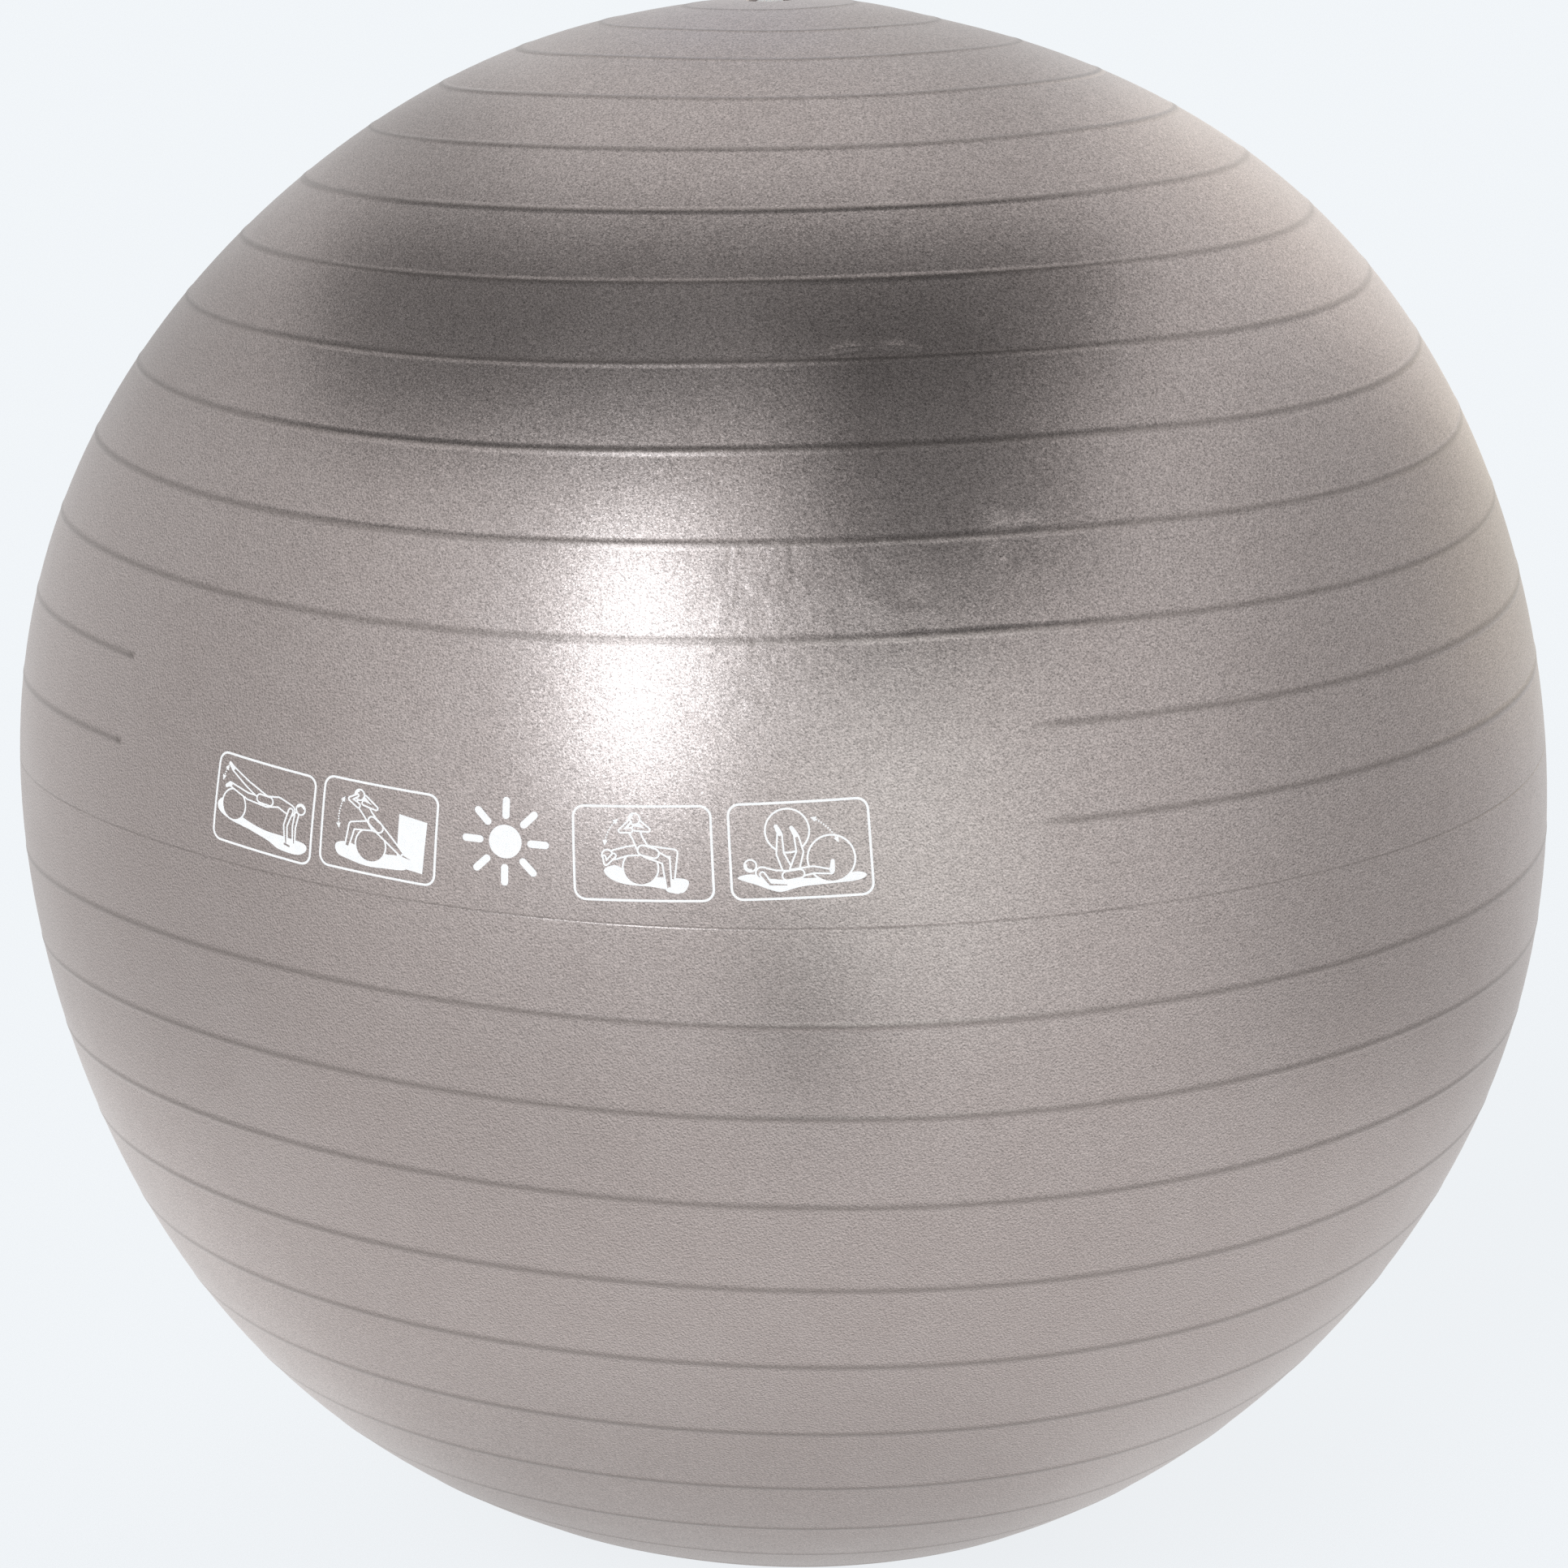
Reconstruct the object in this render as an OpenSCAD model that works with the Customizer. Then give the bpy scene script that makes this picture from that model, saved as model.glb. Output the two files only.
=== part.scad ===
// Inflatable exercise ball. One seamless skin carries moulded grip ribs, a grommet
// set into the skin makes the valve, a push-in plug closes it, and a row of printed
// exercise pictures runs along the smooth panel just above the mould line.
//
// Frame: origin at the middle of the ball, +Z up through the valve, -Y through the
// middle of the printed row. Lengths are millimetres, angles are degrees.

/* [Ball] */
// Diameter of the inflated ball, averaged over its three directions
ball_d = 650; // [550:50:750]
// How much taller the inflated ball is than wide
polar_stretch = 1.028; // [1:0.004:1.04]
// Thickness of the skin
wall_t = 0.9; // [0.6:0.1:1.5]
// Diameter of the flat that the ball's own weight presses into its foot
foot_d = 68; // [40:2:68]
// Angle from the valve down to the mould line: the lower half stretches a little more
crease_angle = 86; // [85:0.2:92]

/* [Grip ribs] */
// Ribs between the mould line and either pole
rib_count = 13; // [9:1:15]
// Width of a rib at the surface
rib_w = 4.6; // [2:0.2:5]
// Height of a rib above the skin
rib_h = 0.2; // [0.2:0.1:1]
// Width of the crease where the two mould halves met
crease_w = 1.6; // [0.8:0.2:2]
// Depth of that crease
crease_depth = 0.3; // [0.1:0.1:0.6]

/* [Smooth panel] */
// Width of the smooth panel, as an angle round the ball
panel_turn = 72; // [60:2:120]
// Ribs above the mould line that stop short of the panel
stopped_ribs = 2; // [1:1:3]

/* [Valve] */
// Diameter of the round recess the valve sits in
recess_d = 19; // [18:1:24]
// Depth of the recess below the surface
recess_depth = 2.6; // [2:0.2:4]
// Thickness of the skin under the recess
boss_t = 2.4; // [1.6:0.2:4]
// Outside diameter of the grommet's neck
neck_d = 12; // [11:0.5:13]
// Diameter of the grommet's flanges
flange_d = 16; // [15:0.5:17]
// Length of the grommet below the recess floor
grommet_l = 15; // [10:1:20]
// Diameter of the hole air is pumped through
air_hole_d = 8; // [6:0.5:9]

/* [Plug] */
// Diameter of the plug's head
head_d = 11.5; // [10:0.5:14]
// Height of the head at its middle
head_h = 2.2; // [1.6:0.2:3]
// Length of the plug's stem
stem_l = 18; // [12:1:24]
// Gap around the stem, on the radius
stem_gap = 0.05; // [0.02:0.01:0.1]
// Sealing rings on the stem
stem_rings = 4; // [2:1:5]

/* [Printing] */
// Thickness of the printed ink
ink_t = 0.15; // [0.1:0.05:0.3]
// Width of a picture frame
sign_w = 52; // [46:1:54]
// Height of a picture frame
sign_h = 36; // [32:1:38]
// Height of the middle of the row above the mould line, along the skin
row_rise = 26; // [23:1:30]
// Turn from the middle of the row to the two inner pictures
inner_turn = 9.5; // [9:0.1:12]
// Turn from each inner picture to the outer one beside it
picture_step = 10; // [9.8:0.1:11.5]
// Width of the frame lines
frame_line = 0.9; // [0.8:0.1:1.6]

/* [Hidden] */
$fn = 240;
small_round = 48;                            // segments of the small circles in the pictures
arc_parts = 8;                               // segments of a stroke's round end

seam_r = ball_d * 3 / (2 + polar_stretch) / 2;
pole_r = seam_r * polar_stretch;
degree_l = PI * (seam_r + pole_r) / 360;     // length of one degree along the surface
crease_ring = rib_count + 1;                 // the mould line takes the place of a rib
last_ring = 2 * crease_ring;                 // the ring that shrinks to the bottom pole
rib_sink = 0.02;                               // a stopped rib's edges run into the skin
land_points = 9;                             // profile points between two ribs
foot_angle = 180 - asin(foot_d / 2 / seam_r);
lip = 0.8;                                   // rounding of the recess's edge
lip_angle = asin((recess_d / 2 + lip) / seam_r);
floor_z = pole_r - recess_depth;
flange_t = 0.8;
head_z = floor_z + flange_t;                 // underside of the plug's head
stem_r = air_hole_d / 2 - stem_gap;
outer_turn = inner_turn + picture_step;
row_angle = crease_angle - row_rise / degree_l;
row_latitude = atan(polar_stretch / tan(row_angle));
ink_margin = 1;                              // film kept ready above and below a picture

// ---- the skin's profile ---------------------------------------------------------

// A point of the skin's profile at an angle from the top pole, moved out by lift.
function profile_point(angle, lift) =
    let (across = sin(angle) / seam_r)
    let (up = cos(angle) / pole_r)
    [seam_r * sin(angle), pole_r * cos(angle)] + lift * [across, up] / norm([across, up]);

// Rings are counted down from the valve, and may be a fraction. Those above the mould
// line are evenly spaced, and so are those below it.
function ring_angle(ring) =
    ring <= crease_ring
        ? ring / crease_ring * crease_angle
        : crease_angle + (ring / crease_ring - 1) * (180 - crease_angle);

function is_stopped(ring) = ring >= crease_ring - stopped_ribs && ring < crease_ring;
function ring_w(ring) = ring == crease_ring ? crease_w : rib_w;
function ring_h(ring) = ring == crease_ring ? -crease_depth : rib_h;

// Angle and height of the points across one ring: a smooth bell, highest in the middle.
function ring_bell(ring) =
    [for (u = [-1 : 0.5 : 1])
        [ring_angle(ring) + u * ring_w(ring) / 2 / degree_l,
         ring_h(ring) * (1 + cos(180 * u)) / 2]];

// A ring, or the plain skin where there is none, and the smooth stretch below it.
function ring_steps(ring) =
    is_stopped(ring) || ring == 0 ? [[ring_angle(ring), 0]] : ring_bell(ring);
function land_steps(ring) =
    [for (j = [1 : land_points]) [ring_angle(ring + j / (land_points + 1)), 0]];

skin_steps =
    [for (ring = [0 : last_ring - 1])
        each [for (s = concat(ring_steps(ring), land_steps(ring)))
            if (s[0] > lip_angle && s[0] < foot_angle) s]];

function reversed(list) = [for (i = [len(list) - 1 : -1 : 0]) list[i]];

// Half of the skin cut through the middle: down the outside, back up the inside.
function skin_outline() =
    let (outside = [for (s = skin_steps) profile_point(s[0], s[1])])
    let (inside = [for (s = skin_steps) profile_point(s[0], -wall_t)])
    let (foot = profile_point(foot_angle, 0))
    let (foot_inside = profile_point(foot_angle, -wall_t))
    let (edge = profile_point(lip_angle, 0))
    concat(
        [[neck_d / 2, floor_z], [recess_d / 2, floor_z], [recess_d / 2, edge[1] - lip]],
        [edge],
        outside,
        [foot, [0, foot[1]], [0, foot_inside[1]], foot_inside],
        reversed(inside),
        [[recess_d / 2 + wall_t, floor_z - boss_t], [neck_d / 2, floor_z - boss_t]]);

// The cross-section of a stopped rib, rooted in the middle of the wall.
module rib_section(ring) {
    steps = ring_bell(ring);
    first = steps[0][0];
    last = steps[len(steps) - 1][0];
    bell = [for (s = steps) profile_point(s[0], s[1] - rib_sink)];
    root = -wall_t / 2;
    polygon(concat(bell, [profile_point(last, root), profile_point(first, root)]));
}

// Sweep a section all the way round except across the smooth panel.
module around_panel() {
    rotate_extrude(angle = 360 - panel_turn, start = panel_turn / 2 - 90) children();
}

module ball_skin() {
    color([0.66, 0.63, 0.62])
    union() {
        rotate_extrude() polygon(skin_outline());
        for (ring = [crease_ring - stopped_ribs : crease_ring - 1]) {
            around_panel() rib_section(ring);
        }
    }
}

// ---- the valve ------------------------------------------------------------------

// Grommet: a flange above and a flange below grip the skin, and a sleeve guides the plug.
module valve_grommet() {
    sleeve_r = neck_d / 2 - 0.4;
    taper_h = 1.5;
    chamfer = 0.3;
    end_chamfer = 0.6;
    grip_z = floor_z - boss_t;
    end_z = floor_z - grommet_l;
    color([0.60, 0.58, 0.57])
    rotate_extrude()
    polygon([
        [air_hole_d / 2, head_z],
        [flange_d / 2 - chamfer, head_z],
        [flange_d / 2, head_z - chamfer],
        [flange_d / 2, floor_z],
        [neck_d / 2, floor_z],
        [neck_d / 2, grip_z],
        [flange_d / 2, grip_z],
        [flange_d / 2, grip_z - flange_t],
        [sleeve_r, grip_z - flange_t - taper_h],
        [sleeve_r, end_z + end_chamfer],
        [sleeve_r - end_chamfer, end_z],
        [air_hole_d / 2, end_z]]);
}

// Plug: a low domed head with a nick for a fingernail, on a hollow stem with sealing rings.
module valve_plug() {
    rim_h = 1.1;
    dome_h = head_h - rim_h;
    dome_r = (pow(head_d / 2, 2) + pow(dome_h, 2)) / (2 * dome_h);
    core_r = stem_r - 0.4;
    ring_h = 1.2;
    hollow_r = 2;
    tip_h = 1.6;
    nick_w = 5;
    nick_h = 0.6;
    tip_z = head_z - stem_l;
    ring_step = (stem_l - tip_h - ring_h) / (stem_rings - 1);
    color([0.93, 0.93, 0.92])
    difference() {
        union() {
            translate([0, 0, head_z]) cylinder(h = rim_h, d = head_d);
            intersection() {
                translate([0, 0, head_z + head_h - dome_r]) sphere(r = dome_r);
                translate([0, 0, head_z + rim_h / 2]) cylinder(h = head_h, d = head_d);
            }
            translate([0, 0, tip_z + tip_h]) cylinder(h = stem_l - tip_h, r = core_r);
            translate([0, 0, tip_z]) cylinder(h = tip_h, r1 = core_r - 0.8, r2 = core_r);
            for (i = [0 : stem_rings - 1]) {
                translate([0, 0, tip_z + tip_h + i * ring_step]) cylinder(h = ring_h, r = stem_r);
            }
        }
        translate([0, 0, tip_z - 1]) cylinder(h = stem_l - 1, r = hollow_r);
        translate([-nick_w / 2, -head_d / 2 - 1, head_z - 1]) cube([nick_w, 2, 1 + nick_h]);
    }
}

// ---- the printed pictures --------------------------------------------------------

// Lay flat artwork on the skin as a film of ink. Artwork x runs right and y runs up.
module ink_film(turn) {
    reach = seam_r / 10;
    half_band = (sign_h / 2 + ink_margin) / degree_l;
    band = [for (s = skin_steps) if (abs(s[0] - row_angle) < half_band) s[0]];
    angles = concat([row_angle - half_band], band, [row_angle + half_band]);
    outer = [for (angle = angles) profile_point(angle, ink_t)];
    inner = [for (angle = angles) profile_point(angle, 0)];
    color([0.95, 0.95, 0.95])
    intersection() {
        rotate_extrude() polygon(concat(outer, reversed(inner)));
        rotate([0, 0, turn]) rotate([-row_latitude, 0, 0])
            translate([0, reach - seam_r, 0]) rotate([90, 0, 0])
            linear_extrude(height = 2 * reach) children();
    }
}

// Points along part of a circle.
function arc_points(place, r, start, end) =
    [for (i = [0 : arc_parts])
        let (angle = start + (end - start) * i / arc_parts)
        place + r * [cos(angle), sin(angle)]];

module dot(place, r) {
    translate(place) circle(r = r, $fn = small_round);
}

// A straight stroke with round ends.
module stroke(from, to, w) {
    run = to - from;
    turn = atan2(run[1], run[0]);
    polygon(concat(
        arc_points(from, w / 2, turn + 90, turn + 270),
        arc_points(to, w / 2, turn - 90, turn + 90)));
}

// Strokes joined end to end.
module limb(points, w) {
    for (i = [0 : len(points) - 2]) {
        stroke(points[i], points[i + 1], w);
    }
}

module ball_outline(place, r) {
    line = 0.8;
    difference() {
        dot(place, r);
        dot(place, r - line);
    }
}

// A row of dots along an arc, standing for a movement.
module motion_arc(place, r, start, end) {
    gap = 10;
    for (angle = [start : gap : end]) {
        dot(place + r * [cos(angle), sin(angle)], 0.45);
    }
}

module rounded_box(w, h, r) {
    x = w / 2 - r;
    y = h / 2 - r;
    polygon(concat(
        arc_points([x, y], r, 0, 90),
        arc_points([-x, y], r, 90, 180),
        arc_points([-x, -y], r, 180, 270),
        arc_points([x, -y], r, 270, 360)));
}

module sign_frame() {
    corner = 4.5;
    difference() {
        rounded_box(sign_w, sign_h, corner);
        rounded_box(sign_w - 2 * frame_line, sign_h - 2 * frame_line, corner - frame_line);
    }
}

// Feet up on the ball, hands on the floor.
module plank_print() {
    ink_film(-outer_turn) {
        sign_frame();
        ball_outline([-16, -2], 6.5);
        stroke([-18, -11], [15, -13.5], 2.4);
        limb([[-19, 6], [-1, 3], [11, 0.5]], 2.2);
        limb([[11, 0.5], [9, -11]], 1.7);
        dot([16, -0.5], 2.2);
        motion_arc([-19, 6], 7.5, 60, 120);
    }
}

// Side lying over the ball, feet against a wall.
module side_bend_print() {
    ink_film(-inner_turn) {
        sign_frame();
        ball_outline([-1, -7.5], 6.5);
        stroke([-12, -13.4], [17, -13.8], 2);
        polygon([[12, -13], [20.5, -14], [20.5, 6], [12, 8]]);
        limb([[10.5, -11.5], [5, -2], [-2.5, 1], [-6, 8]], 2.2);
        limb([[-6, 8], [0, 7], [-5, 12]], 1.4);
        dot([-8, 11.5], 2.2);
        motion_arc([-3, 1], 15, 150, 200);
    }
}

// Back on the ball, sitting up.
module crunch_print() {
    ink_film(inner_turn) {
        sign_frame();
        ball_outline([-3, -6.5], 6.5);
        stroke([-13, -12.8], [14, -14], 2.2);
        limb([[14.5, -12], [12, 0.5], [0, 1], [-4.5, 7.5]], 2.2);
        limb([[-4.5, 7.5], [-8, 6.5], [-5, 11.5]], 1.4);
        dot([-3.5, 11.5], 2.2);
        motion_arc([-3, 1], 13, 120, 180);
    }
}

// Lying down, swinging the ball up and over between the feet.
module leg_swing_print() {
    ink_film(outer_turn) {
        sign_frame();
        ball_outline([-2.5, 7], 7.5);
        ball_outline([13.5, -5], 8);
        stroke([-18, -13.6], [19, -14], 2);
        limb([[-14, -9], [0, -9.5], [11, -7]], 2.2);
        limb([[0, -9.5], [-2, 5.5]], 1.9);
        dot([-17.5, -7.5], 2.2);
        motion_arc([0, -7], 19, 30, 70);
    }
}

// A plain sun: a disc with rays.
module sun_emblem_print() {
    rays = 8;
    disc_r = 6.4;
    ray_from = 10;
    ray_to = 15.6;
    ray_w = 2.8;
    ink_film(0) {
        dot([0, 0], disc_r);
        for (i = [0 : rays - 1]) {
            rotate(i * 360 / rays) stroke([ray_from, 0], [ray_to, 0], ray_w);
        }
    }
}

// ---- the assembly ----------------------------------------------------------------

ball_skin();
valve_grommet();
valve_plug();
plank_print();
side_bend_print();
crunch_print();
leg_swing_print();
sun_emblem_print();
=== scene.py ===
"""Inflatable exercise ball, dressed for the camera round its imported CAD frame. Lengths are metres."""
import math

import bpy
import numpy as np
from mathutils import Matrix, Vector
from mathutils.geometry import delaunay_2d_cdt


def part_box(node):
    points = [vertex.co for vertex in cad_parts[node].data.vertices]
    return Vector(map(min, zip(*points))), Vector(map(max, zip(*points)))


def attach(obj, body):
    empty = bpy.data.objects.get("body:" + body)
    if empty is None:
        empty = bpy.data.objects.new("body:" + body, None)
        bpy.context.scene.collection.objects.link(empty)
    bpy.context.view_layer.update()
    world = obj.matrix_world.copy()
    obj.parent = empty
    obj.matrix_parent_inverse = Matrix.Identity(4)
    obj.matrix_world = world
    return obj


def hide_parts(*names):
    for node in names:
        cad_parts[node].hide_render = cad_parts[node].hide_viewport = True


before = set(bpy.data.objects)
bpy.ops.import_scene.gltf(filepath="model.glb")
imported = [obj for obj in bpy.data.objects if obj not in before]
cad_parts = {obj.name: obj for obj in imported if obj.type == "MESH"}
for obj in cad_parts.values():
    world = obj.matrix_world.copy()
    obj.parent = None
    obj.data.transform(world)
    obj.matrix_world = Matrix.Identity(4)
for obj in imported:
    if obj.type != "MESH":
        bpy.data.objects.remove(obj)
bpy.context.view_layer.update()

MM = 0.001
DEG = math.pi / 180

# ---- measures taken from the frame ---------------------------------------------------

skin_low, skin_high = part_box("ball_skin")
grommet_low, grommet_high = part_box("valve_grommet")
plug_low, plug_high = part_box("valve_plug")

foot_r = 34 * MM  # flat under the ball
seam_r = skin_high.x  # radius at the mould line
foot_z = skin_low.z
pole_r = -foot_z / math.sqrt(1 - (foot_r / seam_r) ** 2)
mean_r = (seam_r + pole_r) / 2
wall_t = 0.9 * MM

recess_r = 9.5 * MM  # round recess that the valve sits in
lip = 0.8 * MM  # rounding of the recess's edge
lip_angle = math.asin((recess_r + lip) / seam_r)
flange_t = 0.8 * MM  # of the grommet
recess_floor = grommet_high.z - flange_t
boss_t = 2.4 * MM  # skin under the recess
neck_r = 6 * MM  # hole in the skin, filled by the grommet's neck
bore_r = 4 * MM  # hole for air

# ---- where the photographer stood ----------------------------------------------------

camera_turn = 18.9 * DEG  # round from the middle of the printed row
camera_rise = 13.6 * DEG
camera_roll = 1.2 * DEG
camera_distance = 6.5 * seam_r
camera_shift = (0.003 * seam_r, 0.0015 * seam_r)  # how far the ball sits right and up of centre
sensor_w = 36
lens_mm = 112.7

back = np.array([math.sin(camera_turn) * math.cos(camera_rise),
                 -math.cos(camera_turn) * math.cos(camera_rise),
                 math.sin(camera_rise)])
level_side = np.array([math.cos(camera_turn), math.sin(camera_turn), 0])
level_up = np.cross(back, level_side)
side = level_side * math.cos(camera_roll) - level_up * math.sin(camera_roll)
up = level_side * math.sin(camera_roll) + level_up * math.cos(camera_roll)

# ---- the rings on the skin -----------------------------------------------------------

crease_angle = 86 * DEG  # from the valve down to the mould line
crease_ring = 14  # counted down from the valve
last_ring = 28
stopped_rings = (12, 13)  # these stop short of the smooth panel
panel_left = -35.5 * DEG
panel_right = 36.8 * DEG
rib_half = 2.3 * MM  # half the width of a raised ring
rib_h = 0.2 * MM
seam_half = 0.7 * MM  # the same for the mould line, which is a shallow dip
seam_depth = 0.15 * MM

# The ball stretched unevenly, so the rings aren't quite level: size in degrees, half waves
# from pole to pole, waves round the ball, and whether those start as a sine or a cosine.
# The sizes here and of the outline's bulges are fitted to the real ball.
RING_DRIFT = (
    (-0.94, 1, 1, "cos"),
    (0.72, 1, 2, "cos"),
    (1.0, 1, 2, "sin"),
    (-0.15, 1, 4, "sin"),
    (-0.49, 2, 2, "cos"),
    (-0.57, 2, 2, "sin"),
    (0.22, 3, 0, "cos"),
    (-1.04, 4, 1, "cos"),
    (0.11, 4, 4, "sin"),
    (0.16, 5, 4, "cos"),
    (-0.09, 7, 0, "cos"),
)

# Low bulges and hollows of the outline as the camera sees it: bulges round the outline,
# then the cosine and sine parts in millimetres.
OUTLINE_BULGES = (
    (2, 0.0, -0.43),
    (3, -0.55, 1.38),
    (4, -0.53, -0.47),
    (5, -0.47, 0.35),
    (6, 0.0, -1.29),
)
calm_cap = 14 * DEG  # the bulges fade out towards the valve

# Creases left from folding: points in degrees round from the row and down from the
# valve, then width and height in millimetres. A minus height is a dent.
CREASES = (
    (((15.4, 60.9), (15.0, 62.6), (15.7, 64.4), (15.2, 66.1), (15.9, 67.4), (15.6, 69.2)), 0.9, -0.07),
    (((13.5, 63.0), (14.5, 64.2), (14.2, 65.4), (14.9, 66.9)), 1.3, 0.035),
    (((16.5, 62.4), (17.0, 64.1), (16.3, 65.9)), 1.2, 0.045),
    (((19.8, 61.2), (19.4, 62.5), (20.0, 63.7)), 1.0, -0.06),
    (((12.0, 65.4), (13.4, 65.1), (14.9, 66.0)), 1.2, 0.03),
    (((17.3, 63.3), (18.7, 63.1), (20.3, 63.6), (21.6, 63.2)), 1.2, 0.035),
    (((15.9, 67.3), (17.4, 67.9), (19.3, 67.8)), 1.4, -0.06),
    (((21.8, 48.8), (24.6, 48.35), (27.4, 48.2), (30.2, 48.4), (33.0, 48.85)), 1.1, 0.22),
    (((34.5, 60.4), (36.6, 60.7), (39.0, 60.3)), 1.2, 0.14),
    (((35.0, 62.6), (36.2, 63.6), (37.2, 65.2)), 1.4, 0.10),
)


def ring_angle(ring):
    """Angle from the top pole of a ring, which may be a fraction."""
    above = ring / crease_ring * crease_angle
    below = crease_angle + (ring / crease_ring - 1) * (math.pi - crease_angle)
    return np.where(np.asarray(ring) <= crease_ring, above, below)


def ring_at(angle):
    """The ring, as a fraction, at an angle from the top pole."""
    above = angle / crease_angle * crease_ring
    below = crease_ring + (angle - crease_angle) / (math.pi - crease_angle) * crease_ring
    return np.where(angle <= crease_angle, above, below)


def ring_drift(angle, turn):
    """How far the skin sits below its even place, as an angle."""
    wave = {"sin": np.sin, "cos": np.cos}
    seen = turn - camera_turn
    return sum(size * DEG * np.sin(down * angle) * wave[start](round_ * seen)
               for size, down, round_, start in RING_DRIFT)


def smooth_step(value, start, end):
    part = np.clip((value - start) / (end - start), 0, 1)
    return part * part * (3 - 2 * part)


def panel_share(turn):
    """How much of its height a stopped ring has: none on the smooth panel. It ends in a small
    knob at the panel's left edge and fades out at the right one."""
    left = smooth_step(-turn, -panel_left - 0.1 * DEG, -panel_left + 0.15 * DEG)
    right = smooth_step(turn, panel_right - 1.9 * DEG, panel_right + 1.2 * DEG)
    knob_turn = panel_left - 0.5 * DEG
    knob = 1 + 0.5 * np.exp(-((turn - knob_turn) / (0.35 * DEG)) ** 2)
    return np.where(turn < 0, left * knob, right)


def ring_bell(angle, turn):
    """A bell across each ring, 1 on its middle line, and whether that ring is the mould line."""
    ring = np.rint(ring_at(angle))
    away = (angle - ring_angle(ring)) * mean_r
    is_seam = ring == crease_ring
    half = np.where(is_seam, seam_half, rib_half)
    uneven = 0.8 + 0.2 * np.sin(37 * turn + 1.1) * np.sin(11 * turn)  # along the mould line
    share = np.where(is_seam, uneven, 1.0)
    share = np.where((ring <= 0) | (ring >= last_ring), 0, share)
    share = np.where(np.isin(ring, stopped_rings), share * panel_share(turn), share)
    return share * (1 + np.cos(math.pi * np.clip(away / half, -1, 1))) / 2, is_seam


def ring_relief(angle, turn):
    """Height of the raised rings, and the small dip of the mould line."""
    bell, is_seam = ring_bell(angle, turn)
    return bell * np.where(is_seam, -seam_depth, rib_h)


def outline_bulge(normal, angle):
    """Low bulges seen along the outline, nothing at the middle of the view or the valve."""
    seen = normal @ side + 1j * (normal @ up)
    total = sum((cosine * np.real(seen ** count) + sine * np.imag(seen ** count)) * MM
                for count, cosine, sine in OUTLINE_BULGES)
    return total * smooth_step(angle, 0.35 * calm_cap, calm_cap)


def crease_relief(angle, turn):
    """Height of the creases left from folding."""
    total = np.zeros(np.shape(angle))
    for path, width, height in CREASES:
        points = np.array(path) * DEG
        middle = points.mean(axis=0)
        across = seam_r * math.sin(middle[1])
        spot = np.stack([(turn - middle[0]) * across, (angle - middle[1]) * pole_r], axis=-1)
        line = (points - middle) * (across, pole_r)
        near = np.full(np.shape(angle), 1.0)
        for start, end in zip(line[:-1], line[1:]):
            run = end - start
            part = np.clip(((spot - start) @ run) / (run @ run), 0, 1)
            gap = spot - start - part[..., None] * run
            near = np.minimum(near, np.hypot(gap[..., 0], gap[..., 1]))
        reach = np.linalg.norm(spot, axis=-1) / np.abs(line).max()
        fade = 1 - smooth_step(reach, 0.7, 1.1)
        total += height * MM * np.exp(-(near / (width * MM)) ** 2) * fade
    return total


def flatten_foot(place):
    """Presses what lies below the foot's flat up to it, with a soft edge."""
    soft = 0.35 * MM
    rise_above = (place[..., 2] - foot_z) / soft
    high_up = 30  # so far up that nothing is pressed
    pressed = np.log1p(np.exp(np.minimum(rise_above, high_up)))
    place[..., 2] = foot_z + soft * np.where(rise_above > high_up, rise_above, pressed)
    return place


def skin_point(angle, turn, lift=0.0, plain=False):
    """Points of the outer skin. Angle is down from the valve, turn is round from the row.
    Plain leaves the rings and creases out."""
    angle, turn = np.broadcast_arrays(np.asarray(angle, float), np.asarray(turn, float))
    theta = angle + ring_drift(angle, turn)
    place = np.stack([seam_r * np.sin(theta) * np.sin(turn),
                      -seam_r * np.sin(theta) * np.cos(turn),
                      pole_r * np.cos(theta)], axis=-1)
    normal = place / (seam_r ** 2, seam_r ** 2, pole_r ** 2)
    normal /= np.linalg.norm(normal, axis=-1, keepdims=True)
    height = lift + outline_bulge(normal, angle)
    if not plain:
        height = height + ring_relief(angle, turn) + crease_relief(angle, turn)
    place = place + normal * height[..., None]
    return flatten_foot(place)


def skin_normal(angle, turn):
    """Outward unit normals of the outer skin."""
    step = 0.02 * DEG
    down = skin_point(angle + step, turn) - skin_point(angle - step, turn)
    along = skin_point(angle, turn + step) - skin_point(angle, turn - step)
    normal = np.cross(down, along)
    return normal / np.linalg.norm(normal, axis=-1, keepdims=True)


# ---- node helpers --------------------------------------------------------------------


def add(tree, kind, inputs=None, **settings):
    """Adds a shader node. Inputs are sockets to link or values to set."""
    node = tree.nodes.new(kind)
    for name, value in settings.items():
        setattr(node, name, value)
    for name, value in (inputs or {}).items():
        if isinstance(value, bpy.types.NodeSocket):
            tree.links.new(value, node.inputs[name])
        else:
            node.inputs[name].default_value = value
    return node


def calc(tree, operation, *values, clamp=False):
    inputs = dict(enumerate(values))
    return add(tree, "ShaderNodeMath", inputs, operation=operation, use_clamp=clamp).outputs[0]


def vector(tree, operation, *values):
    inputs = dict(enumerate(values))
    node = add(tree, "ShaderNodeVectorMath", inputs, operation=operation)
    return node.outputs["Value" if operation in ("DOT_PRODUCT", "LENGTH") else "Vector"]


def rise(tree, value, start, end, low=0.0, high=1.0):
    """A smooth step from low to high as value goes from start to end."""
    inputs = {"Value": value, "From Min": start, "From Max": end, "To Min": low, "To Max": high}
    return add(tree, "ShaderNodeMapRange", inputs, interpolation_type="SMOOTHSTEP").outputs["Result"]


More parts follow.
